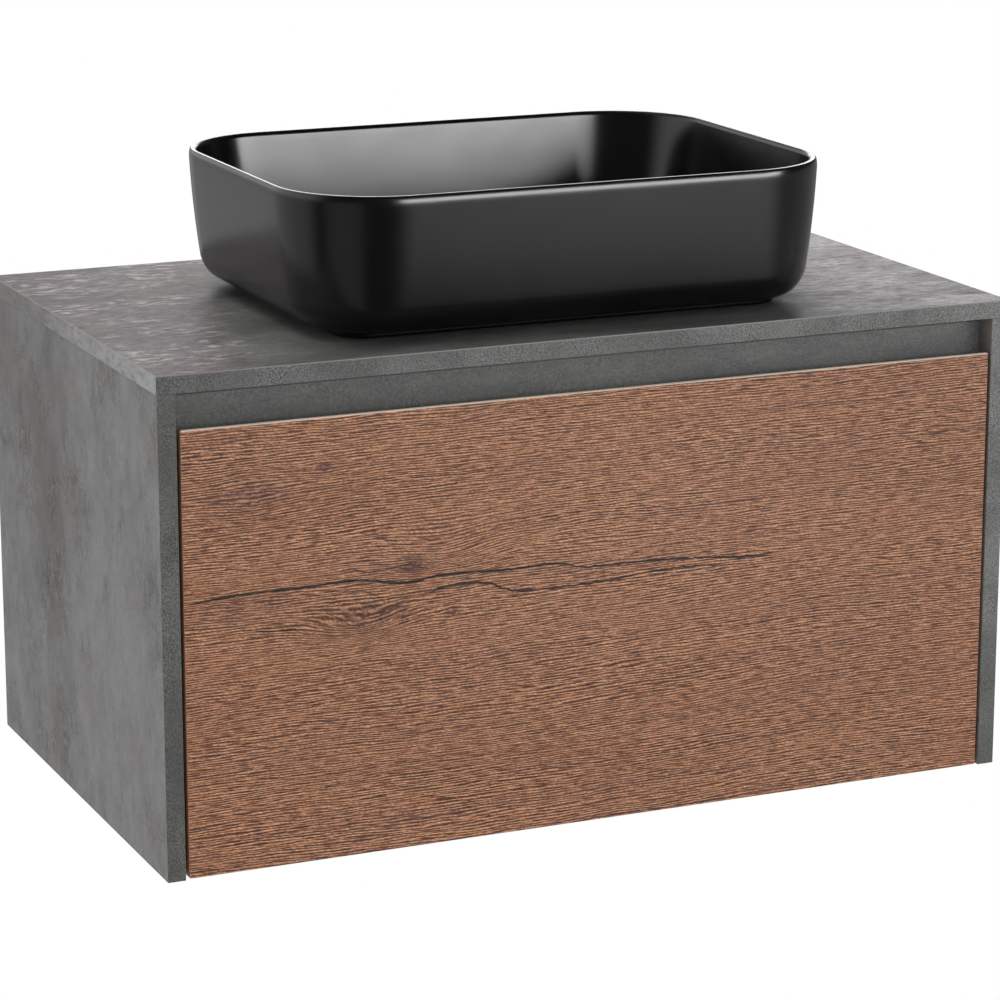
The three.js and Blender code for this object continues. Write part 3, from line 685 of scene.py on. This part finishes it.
def dress(node, material, rounding=0.25, segments=2):
    """Gives a CAD node its material, and joins its flat faces and rounds its edges with modifiers."""
    obj = frame["nodes"][node]
    if "custom_normal" in obj.data.attributes:
        obj.data.attributes.remove(obj.data.attributes["custom_normal"])
    obj.data.materials.clear()
    obj.data.materials.append(material)
    for face in obj.data.polygons:
        face.use_smooth = True
        face.material_index = 0
    weld = obj.modifiers.new("join", "WELD")
    weld.merge_threshold = 1e-6
    flat = obj.modifiers.new("flat faces", "DECIMATE")
    flat.decimate_type = "DISSOLVE"
    flat.angle_limit = math.radians(1)
    soften(obj, rounding, segments)


# ---- Boards ----
BAND = 0.8  # thickness of an edge band
FACING = 0.9  # a face looks along an axis if its normal reaches this far along it
HANGER_HOLE = 4  # radius of the hole for a hanger's screw
DRAIN_HOLE = 23  # radius, in the worktop and the basin


def board(node, faces, banding, raw, banded, cutters=(), end_banding=None):
    """A faced board with its edge bands: one piece for the core and one for the bands.

    faces maps the two broad sides, such as "+z", to materials. banded lists the sides that have a band,
    the one that runs through at the corners first. end_banding is for the bands that face along X.
    """
    lo, hi = span(node)
    strips = bmesh.new()
    for side in banded:
        axis, high = "xyz".index(side[1]), side[0] == "+"
        strip_lo, strip_hi = lo.copy(), hi.copy()
        if high:
            strip_lo[axis] = hi[axis] = hi[axis] - BAND
        else:
            strip_hi[axis] = lo[axis] = lo[axis] + BAND
        block(strips, strip_lo, strip_hi)
    if banded:
        bands = [banding, end_banding or banding]
        piece(f"{node}_edge_band", strips, bands, node, 0.45, 3, stands_in=False,
              pick=lambda normal: int(abs(normal.x) > FACING))
    else:
        strips.free()
    core = bmesh.new()
    block(core, lo, hi)
    sides = list(faces)

    def pick(normal):
        for index, side in enumerate(sides):
            if normal["xyz".index(side[1])] * (1 if side[0] == "+" else -1) > FACING:
                return index
        return len(sides)

    materials = [*faces.values(), raw]
    piece(f"{node}_board", core, materials, node, 0.25, pick=pick, cutters=cutters)


def lined_board(node, axis, banded, plain, cutters=()):
    """A board with the plain lining on both broad sides. plain holds its face, edge band and raw edge."""
    face, banding, raw = plain
    board(node, {f"+{axis}": face, f"-{axis}": face}, banding, raw, banded, cutters)


def rod(radius, centre, along, start, end):
    """A cutter: a cylinder between two places along an axis."""
    bm = bmesh.new()
    turned(bm, [(0, start), (radius, start), (radius, end), (0, end)], centre, along, 64)
    return bm


def carcass(top, side, inner, edge, shaded_left_edge, end, rail, plain):
    raw = plain[2]
    drain = rod(DRAIN_HOLE, (BASIN_MID.x, BASIN_MID.y, 0), "Z", TOP_Z - 30, TOP_Z + 10)
    board("worktop", {"+z": top, "-z": inner}, edge, raw, ["-y", "-x", "+x"], [drain], end)
    # The left panel's bands take the darker copy of the edge band, painted shade.
    board("side_panel_left", {"-x": side, "+x": inner}, shaded_left_edge, raw, ["-y", "-z", "+y"])
    board("side_panel_right", {"+x": side, "-x": inner}, edge, raw, ["-y", "-z", "+y"])
    board("grip_rail", {"-y": rail, "+y": inner}, edge, raw, ["-z"])
    lined_board("bottom_panel", "z", ["-y"], plain)
    drills = []
    for word, _ in SIDES:
        lo, hi = span(f"hanger_screw_{word}")
        drills.append(rod(HANGER_HOLE, ((lo.x + hi.x) / 2, 0, (lo.z + hi.z) / 2), "Y", -60, -10))
    lined_board("rear_top_rail", "y", ["-z"], plain, drills)
    lined_board("rear_bottom_rail", "y", ["+z"], plain)


# ---- Drawer ----
BEVEL_HEIGHT = 24  # finger bevel behind the drawer front's upper edge
LAND_DEPTH = 4  # flat left in front of that bevel
FRONT_CORNER = 1.6  # radius of the drawer front's corners, seen from the front


def drawer_front(face, edge, land_highlight, back):
    lo, hi = FRONT_LO, FRONT_HI
    bm = bmesh.new()
    outline = [
        (lo.y, lo.z), (hi.y, lo.z), (hi.y, hi.z - BEVEL_HEIGHT), (lo.y + LAND_DEPTH, hi.z), (lo.y, hi.z),
    ]
    prism(bm, outline, lo.x, hi.x)

    def runs_along_y(bm_edge):
        along = bm_edge.verts[0].co - bm_edge.verts[1].co
        return abs(along.x) < 1e-6 and abs(along.z) < 1e-6

    corners = [bm_edge for bm_edge in bm.edges if runs_along_y(bm_edge)]
    bmesh.ops.bevel(bm, geom=corners, offset=FRONT_CORNER, segments=4, affect="EDGES", profile=0.5)

    def pick(normal):
        if normal.y < -FACING:
            return 0
        # The top land gets the material painted with the highlight tone.
        if normal.z > FACING:
            return 2
        return 3 if normal.y > 0.3 else 1

    piece("drawer_front_panel", bm, [face, edge, land_highlight, back], "drawer_front", 0.6, 3, pick=pick)


def drawer(face, edge, land_highlight, plain, zinc):
    drawer_front(face, edge, land_highlight, plain[0])
    left_lo, left_hi = span("cutout_side_left")
    right_lo, _ = span("cutout_side_right")
    floor_lo, floor_hi = span("drawer_bottom")
    notch = bmesh.new()
    block(notch, (left_hi.x, left_lo.y, floor_lo.z - 5), (right_lo.x, floor_hi.y + 10, floor_hi.z + 5))
    lined_board("drawer_bottom", "z", [], plain, [notch])
    lined_board("cutout_front", "y", ["+z"], plain)
    for word, _ in SIDES:
        lined_board(f"drawer_side_{word}", "x", ["+z", "+y"], plain)
        lined_board(f"drawer_back_{word}", "y", ["+z"], plain)
        lined_board(f"cutout_side_{word}", "x", ["+z"], plain)
        dress(f"front_bracket_{word}", zinc, 0.4)


# ---- Basin ----
RIM_RADIUS = 94  # corner radius of the rim in plan
TIGHTENING = (1.5, 0.75)  # how much a corner radius shrinks per mm of inset, outside and inside
DRAIN_FLOOR = 20  # height of the bowl's floor at the drain, above the worktop
FLOOR_RINGS = 8  # between the foot of the bowl's wall and the seat of the waste


def plan_ring(a, b, r, z, steps=22, runs=6):
    """A rounded rectangle in plan with points along its straight sides: half sizes, radius, height."""
    points = []
    for corner in range(4):
        sx, sy = ((1, 1), (-1, 1), (-1, -1), (1, -1))[corner]
        arc = []
        for i in range(steps + 1):
            angle = (corner + i / steps) * math.pi / 2
            arc.append(Vector((sx * (a - r) + r * math.cos(angle), sy * (b - r) + r * math.sin(angle), z)))
        if points:
            points += [points[-1].lerp(arc[0], k / runs) for k in range(1, runs)]
        points += arc
    return points + [points[-1].lerp(points[0], k / runs) for k in range(1, runs)]


def arc_points(centre, radii, start, end, steps):
    """Points of an ellipse arc in the basin's section, angles in degrees."""
    made = []
    for i in range(steps + 1):
        angle = math.radians(start + (end - start) * i / steps)
        made.append((centre[0] + radii[0] * math.cos(angle), centre[1] + radii[1] * math.sin(angle)))
    return made


def straight(start, end, steps, swell):
    """Points between two places of the section, with their inset less by the swell in the middle."""
    shares = [k / steps for k in range(1, steps)]
    return [
        (start[0] + (end[0] - start[0]) * t - 4 * swell * t * (1 - t), start[1] + (end[1] - start[1]) * t)
        for t in shares
    ]


def basin_sections():
    """The wall's section as (inset from the rim, height above the worktop): outside, then inside."""
    foot = [(57, 6), (56.4, 1.0), (55.4, 0.2), (46.6, 0.2), (45.4, 0.8), (45.1, 3), (45, 6)]
    turn = arc_points((40, 37), (31, 31), 270, 188.9, 18)
    roll = arc_points((2.1, 120), (2.1, 8), 192.5, 90, 30)
    lip = arc_points((3.7, 123.5), (3.2, 4.5), 90, 8, 14)
    bowl = arc_points((57, 64), (38, 38), 195, 270, 24)
    outside = [*foot, *turn, *straight(turn[-1], roll[0], 14, 1.1), *roll]
    return outside, [*lip, *straight(lip[-1], bowl[0], 14, 0.5), *bowl]


def basin(glaze):
    half_x, half_y = (BASIN_HI.x - BASIN_LO.x) / 2, (BASIN_HI.y - BASIN_LO.y) / 2
    middle = Vector((BASIN_MID.x, BASIN_MID.y, TOP_Z))
    rings = []
    for section, tightening in zip(basin_sections(), TIGHTENING):
        for inset, z in section:
            radius = RIM_RADIUS - tightening * inset
            rings.append(plan_ring(half_x - inset, half_y - inset, radius, z))
    edge, seat = rings[-1], plan_ring(38, 38, 36, DRAIN_FLOOR)
    for k in range(1, FLOOR_RINGS + 1):
        share = k / (FLOOR_RINGS + 1)
        fall = share * share * (3 - 2 * share)
        ring = [p.lerp(q, share) for p, q in zip(edge, seat)]
        for point in ring:
            point.z = edge[0].z + (DRAIN_FLOOR - edge[0].z) * fall
        rings.append(ring)
    rings.append(seat)
    for wider, z in ((0.5, DRAIN_FLOOR), (0, DRAIN_FLOOR - 0.8), (0, 6)):
        half = DRAIN_HOLE + wider
        rings.append(plan_ring(half, half, half - 0.5, z))
    bm = bmesh.new()
    skin(bm, [[point + middle for point in ring] for ring in rings])
    piece("basin_bowl", bm, [glaze], "basin", 0)


# ---- Waste and trap ----
WASTE_R, PIPE_R = 21, 16  # outer radii of the waste's tail and of the trap's pipes
CLEAR = 0.3  # gap between round pieces that touch
TOP_H = TOP_Z - FOOT_Z
UNDER_H = span("worktop")[0].z - FOOT_Z
DRAIN_H = TOP_H + DRAIN_FLOOR
OUTLET_H = 285  # axis of the outlet pipe
BAR_H = DRAIN_H - 40  # top of the crossbar in the waste
LOBES = 12  # grips round a nut or the cup


def ring_outline(inner, outer, z0, z1):
    return [(inner, z0), (outer, z0), (outer, z1), (inner, z1)]


def plumbing(metal, black, white, zinc):
    axis = (BASIN_MID.x, BASIN_MID.y, FOOT_Z)
    hug = WASTE_R + CLEAR
    bore = WASTE_R - 3.5
    tail = UNDER_H - 64  # lower end of the waste
    ledge = tail - 2  # step in the inlet nut, under the dip tube's collar
    guide = BAR_H + CLEAR  # foot of the cartridge that the stem slides in
    cap = DRAIN_H + 6

    def turn(name, outline, material, rounding, centre=axis, bar=None, **how):
        """Makes the node's piece from its turned outline, with a bar across it if one is given."""
        bm = bmesh.new()
        turned(bm, outline, centre, **how)
        if bar:
            block(bm, *bar)
        piece(f"{name}_turned", bm, [material], name, rounding, 3)

    turn("waste_gasket", ring_outline(hug, 30, DRAIN_H, DRAIN_H + 1.5), black, 0.4)
    turn("worktop_gasket", ring_outline(hug, 34, TOP_H, TOP_H + 5.5), black, 0.8)
    turn("backnut_washer", ring_outline(hug, 35, UNDER_H - 3, UNDER_H), black, 0.5)
    turn("plug_cartridge", [
        (0, guide), (7, guide), (7, guide + 26), (3.4, guide + 26), (3.4, guide + 3), (0, guide + 3),
    ], white, 0.5)
    turn("plug_stem", ring_outline(0, 3, guide + 4, cap), metal, 0.4)
    turn("plug_cap", [
        (0, cap + CLEAR), (31, cap + CLEAR), (33, cap + 2), (32.5, cap + 4), (26, cap + 6.5),
        (20, cap + 7.5), (14, cap + 8.2), (7, cap + 8.65), (0, cap + 8.8),
    ], metal, 0.6)
    turn("trap_dip_tube", [
        (PIPE_R - 1.5, 222), (PIPE_R, 222), (PIPE_R, ledge + CLEAR), (20.5, ledge + CLEAR),
        (20.5, tail - CLEAR), (PIPE_R - 1.5, tail - CLEAR),
    ], metal, 0.3)
    bar_top = Vector(axis) + Vector((0, 0, BAR_H))
    bar = (bar_top - Vector((bore + 1, 3, 4)), bar_top + Vector((bore + 1, 3, 0)))
    turn("waste_body", [
        (bore, tail), (WASTE_R, tail), (WASTE_R, DRAIN_H + 1.5), (31, DRAIN_H + 1.5),
        (31, DRAIN_H + 3.5), (29, DRAIN_H + 4.5), (bore + 2, DRAIN_H + 4.5), (bore, DRAIN_H + 2.5),
    ], metal, 0.5, bar=bar)
    turn("trap_inlet_nut", [
        (PIPE_R + CLEAR, ledge - 12), (24, ledge - 12), (27, ledge - 9), (27, ledge + 8),
        (25, ledge + 10), (hug, ledge + 10), (hug, ledge), (PIPE_R + CLEAR, ledge),
    ], metal, 0.5, segments=144, lobes=(LOBES, 1.2, 26.5))
    turn("trap_cup", [
        (0, 200), (26, 200), (32, 206), (32, 246), (36, 248), (36, 262), (32.3, 262), (32.3, 249.5),
        (29, 249.5), (29, 208), (25, 204), (0, 204),
    ], metal, 0.8, segments=144, lobes=(LOBES, 1.4, 35))

    # The outlet lies along Y, and its distances count from the axis of the waste to the wall.
    wall = -BASIN_MID.y
    laid = {"centre": (BASIN_MID.x, BASIN_MID.y, FOOT_Z + OUTLET_H), "along": "Y", "segments": 144}
    turn("trap_outlet_nut", [
        (16.3, 50.5), (16.3, 60), (23, 60), (26, 57), (26, 42), (21.3, 42), (21.3, 50.5),
    ], metal, 0.4, lobes=(LOBES, 1.0, 25.5), **laid)
    turn("trap_outlet_pipe", ring_outline(14.5, PIPE_R, 36, wall), metal, 0.4, **laid)
    turn("wall_rosette", [
        (16.3, wall - 9), (20, wall - 9), (26, wall - 7.2), (30, wall - 5), (32.3, wall - 2),
        (33, wall), (29, wall), (16.3, wall - 6),
    ], metal, 0.4, **laid)
    dress("trap_body", metal, 0.8, 3)
    dress("waste_backnut", zinc, 0.9, 3)


# ---- Slides and hangers ----
SLIDE_Z = FOOT_Z + 120  # middle of the slides
SHEET = 1.25  # sheet steel of the slides
CAGE_SHEET = 0.5  # of a ball cage
BALL_RADIUS, BALLS_PER_ROW = 1.5, 5
CAGE_END = 20  # from the end of a cage to its first ball
# The cages: how far web, flange edge and balls are from the side panel, and half the height.
CAGES = {"outer": (1.625, 9, 7, 19.75), "inner": (4, 11, 8, 15)}
SCREW_SHARES = (0.09, 0.91)  # where the screws are along a slide


def ball_cages(strip, ball_steel):
    """Each retainer is a thin channel with a row of balls held in each of its flanges."""
    side_in = span("side_panel_right")[0].x
    profile = arc_points((0, 0), (BALL_RADIUS, BALL_RADIUS), -90, 90, 12)
    ball = [(0, -BALL_RADIUS), *profile[1:-1], (0, BALL_RADIUS)]
    for word, side in SIDES:
        for row, (*distances, half) in CAGES.items():
            node = f"ball_cage_{row}_{word}"
            lo, hi = span(node)
            web_x, flange_x, ball_x = (side * (side_in - d) for d in distances)
            inner_x = web_x + math.copysign(CAGE_SHEET, flange_x - web_x)
            bm = bmesh.new()
            low_x, high_x = sorted((web_x, inner_x))
            block(bm, (low_x, lo.y, SLIDE_Z - half), (high_x, hi.y, SLIDE_Z + half))
            low_x, high_x = sorted((inner_x, flange_x))
            for end in (-1, 1):
                z0, z1 = sorted((SLIDE_Z + end * half, SLIDE_Z + end * (half - CAGE_SHEET)))
                block(bm, (low_x, lo.y, z0), (high_x, hi.y, z1))
            piece(f"{node}_strip", bm, [strip], node, 0.12, 2)
            balls = bmesh.new()
            step = (hi.y - lo.y - 2 * CAGE_END) / (BALLS_PER_ROW - 1)
            for i in range(BALLS_PER_ROW):
                for end in (-1, 1):
                    at = (ball_x, lo.y + CAGE_END + i * step, SLIDE_Z + end * (half - CAGE_SHEET / 2))
                    turned(balls, ball, at, segments=24)
            piece(f"{node}_balls", balls, [ball_steel], node, 0, stands_in=False)


def screw(bm, at, facing):
    """Adds a flat countersunk head, low enough for a ball cage to pass. facing is -1 or 1 along X."""
    before = len(bm.verts)
    turned(bm, [(0, 0), (3.4, 0), (3.4, 0.1), (3.1, 0.25), (0, 0.25)], (0, 0, 0), segments=32)
    for a, b in ((1.6, 0.3), (0.3, 1.6)):
        block(bm, (-a, -b, 0.2), (a, b, 0.31))
    turn = Matrix.Rotation(math.radians(90 * facing), 4, "Y")
    bmesh.ops.transform(bm, matrix=Matrix.Translation(at) @ turn, verts=list(bm.verts)[before:])


def metalwork(zinc, dark_zinc, white, ball_steel):
    dress("wall_rail", zinc, 0.4)
    for word, side in SIDES:
        dress(f"hanger_housing_{word}", white, 1.4, 3)
        dress(f"hanger_hook_{word}", zinc, 0.4)
        dress(f"hanger_screw_{word}", dark_zinc, 0.3)
        for member in ("outer", "middle", "inner"):
            dress(f"slide_{member}_{word}", zinc, 0.2)
        lo, hi = span(f"slide_outer_{word}")
        heads = bmesh.new()
        web = hi.x - SHEET if side > 0 else lo.x + SHEET
        for share in SCREW_SHARES:
            screw(heads, (web, lo.y + share * (hi.y - lo.y), (lo.z + hi.z) / 2), -side)
        piece(f"slide_outer_screws_{word}", heads, [dark_zinc], f"slide_outer_{word}", 0, stands_in=False)
    ball_cages(zinc, ball_steel)


# ---- Studio ----
# Lengths of the studio are in metres.
HANGING_HEIGHT = 0.42  # from the floor to the unit
LOOK_AT = Vector((0.0024, -0.0130, -0.0433))  # from the middle of the unit to what the camera looks at
CAMERA_VIEW = (-23.71, 14.28, 3.385)  # azimuth, elevation, distance
FOCAL_LENGTH, SENSOR_WIDTH = 132.8, 36  # in millimetres


def mirrored_floor(g, x, y):
    """How light the floor looks in a reflection: dark towards the front left and close to the unit."""
    angle = g.math("MULTIPLY", g.math("ARCTAN2", x, g.math("MULTIPLY", y, -1.0)), 180 / math.pi)
    away = g.vmath("LENGTH", g.vector(x, y, 0.0))
    front = g.math("MULTIPLY", g.ramp(angle, -6, 28), g.ramp(away, 1450, 2750, 0.05, 1.05))
    front = g.math("MULTIPLY", front, g.ramp(angle, 34, 62, 1.0, 0.22))
    beside = g.ramp(angle, -80, -100, 0.0, 0.50)
    glow = g.math("MULTIPLY", g.ramp(angle, -28, -46), g.ramp(angle, -84, -66))
    beside = g.math("MAXIMUM", beside, g.math("MULTIPLY", glow, 0.30))
    return g.math("ADD", g.math("MAXIMUM", front, beside), 0.03)


def floor(level):
    bm = bmesh.new()
    bmesh.ops.create_grid(bm, x_segments=1, y_segments=1, size=30)
    mesh = bpy.data.meshes.new("studio_floor")
    bm.to_mesh(mesh)
    bm.free()
    obj = place("studio_floor", mesh)
    obj.location = (0, 0, level)
    g = Graph("pale_floor")
    x, y, _ = g.xyz(g.place)
    matt = g.node("ShaderNodeBsdfDiffuse")
    g.paint(matt.inputs["Color"], (0.88, 0.88, 0.88))
    mirrored = mirrored_floor(g, x, g.math("SUBTRACT", y, BASIN_MID.y))
    lights = [g.white_light("ShaderNodeEmission", strength) for strength in (mirrored, 1.0)]
    mesh.materials.append(g.surface(g.by_ray(matt.outputs[0], *lights)))


def world():
    """A white sky, whose mirror image is dim in front of the unit, overhead and on the right."""
    sky = bpy.data.worlds.new("studio")
    bpy.context.scene.world = sky
    g = Graph("studio", sky)
    x, y, z = g.xyz(g.node("ShaderNodeTexCoord").outputs["Generated"])
    ahead = g.ramp(y, -0.35, 0.15, 0.04, 0.80)
    above = g.ramp(z, 0.30, 0.62, 1.0, 0.35)
    across = g.ramp(x, -0.45, 0.45, 1.5, 0.10)
    mirrored = g.math("MULTIPLY", g.math("MULTIPLY", ahead, above), across)
    lights = [g.white_light("ShaderNodeBackground", strength) for strength in (0.62, mirrored, 1.0)]
    g.surface(g.by_ray(*lights), "ShaderNodeOutputWorld")


def facing(obj, target, azimuth, elevation, distance):
    """Puts an object around the target, facing it. Azimuth 0 is in front and 90 on the right, in degrees."""
    a, e = math.radians(azimuth), math.radians(elevation)
    away = Vector((math.sin(a) * math.cos(e), -math.cos(a) * math.cos(e), math.sin(e)))
    obj.location = Vector(target) + away * distance
    obj.rotation_euler = away.to_track_quat("Z", "Y").to_euler()


def area(name, view, size, radiance, diffuse=True, glossy=True):
    """A rectangular light, which the camera doesn't see. view is what facing() takes."""
    light = bpy.data.lights.new(name, "AREA")
    light.shape = "RECTANGLE"
    light.size, light.size_y = size
    light.energy = radiance * math.pi * size[0] * size[1]
    obj = place(name, light)
    facing(obj, *view)
    obj.visible_camera = False
    obj.visible_diffuse = diffuse
    obj.visible_glossy = glossy


def camera(middle):
    """Looks down a little, from the front left, as the photograph does."""
    data = bpy.data.cameras.new("camera")
    data.lens, data.sensor_width = FOCAL_LENGTH, SENSOR_WIDTH
    data.clip_end = 100
    obj = place("camera", data)
    facing(obj, middle + LOOK_AT, *CAMERA_VIEW)
    bpy.context.scene.camera = obj


def studio():
    middle, basin_middle = (CAD_BOX[0] + CAD_BOX[1]) / 2, BASIN_MID * MM
    floor(CAD_BOX[0].z - HANGING_HEIGHT)
    world()
    area("overhead_soft", (middle, 195, 68, 2.8), (2.6, 2.6), 3.0, glossy=False)
    area("left_soft", (middle, -100, 14, 3.0), (2.4, 1.8), 0.5, glossy=False)
    area("front_right_soft", (basin_middle, 27, 6, 3.6), (3.4, 0.84), 12.2, diffuse=False)
    area("rear_strip", (basin_middle, 157, 13, 3.6), (1.6, 0.9), 3.2, diffuse=False)
    camera(middle)
    view = bpy.context.scene.view_settings
    view.view_transform = "Standard"
    view.look = "None"


# ---- The whole vanity ----
edge = concrete(
    "concrete_edge_band", (110, 110, 110), (4, 4, 4), (0.122, 0.126, 0.119), (0.200, 0.199, 0.195),
    (0.112, 0.109, 0.108), speck=0.52, speck_size=1.35, stained=0.45, streaked=0.15,
    # fade, lighter towards the right, is painted light.
    # line is a painted highlight along the top edge of the worktop's band.
    line=(TOP_Z, 1.3, (0.33, 0.33, 0.32)), fade=0.00045,
)
# A darker copy of the edge band, for the left panel's bands: painted shade.
shaded_left_edge = concrete(
    "concrete_left_band_shaded", (90, 90, 120), (4, 4, 5), (0.094, 0.097, 0.091), (0.156, 0.155, 0.151),
    (0.086, 0.083, 0.082), speck=0.52, speck_size=1.35, stained=0.5, streaked=0.15,
)
inner_face = concrete(
    "concrete_inner", (140, 140, 200), (8, 8, 30), (0.215, 0.188, 0.168), (0.265, 0.232, 0.207),
    (0.190, 0.163, 0.145), speck=0.08, stained=0.4, streaked=0.12,
)
rail_face = concrete(
    "concrete_rail", (150, 80, 60), (12, 6, 7), (0.150, 0.156, 0.148), (0.222, 0.224, 0.217),
    (0.136, 0.143, 0.144), speck=0.26, speck_size=1.7, stained=0.5, streaked=0.2,
    # line is painted shade: a dark stripe along the rail just under the worktop.
    line=(span("grip_rail")[1].z - 4.6, 1.9, (0.055, 0.056, 0.053)),
)
plain = (lining(), lining("lining_band", (0.37, 0.345, 0.315)), chipboard())
zinc_plate, dark_steel = steel(), steel("yellowed_steel", (0.46, 0.45, 0.42), 0.3, 0.45)
bright_metal, white_moulding = chrome(), plastic()

carcass(concrete_top(), concrete_side(), inner_face, edge, shaded_left_edge, concrete_end(), rail_face, plain)
# The second oak band is painted with the highlight tone, for the drawer front's top land.
oak_band, oak_land_highlight = oak_edge("oak_edge_band", (0.36, 0.19, 0.115)), oak_edge("oak_land_highlight", LAND_HIGHLIGHT_TONE)
drawer(oak(), oak_band, oak_land_highlight, plain, zinc_plate)
basin(ceramic())
plumbing(bright_metal, rubber(), white_moulding, zinc_plate)
metalwork(zinc_plate, dark_steel, white_moulding, bright_metal)
studio()
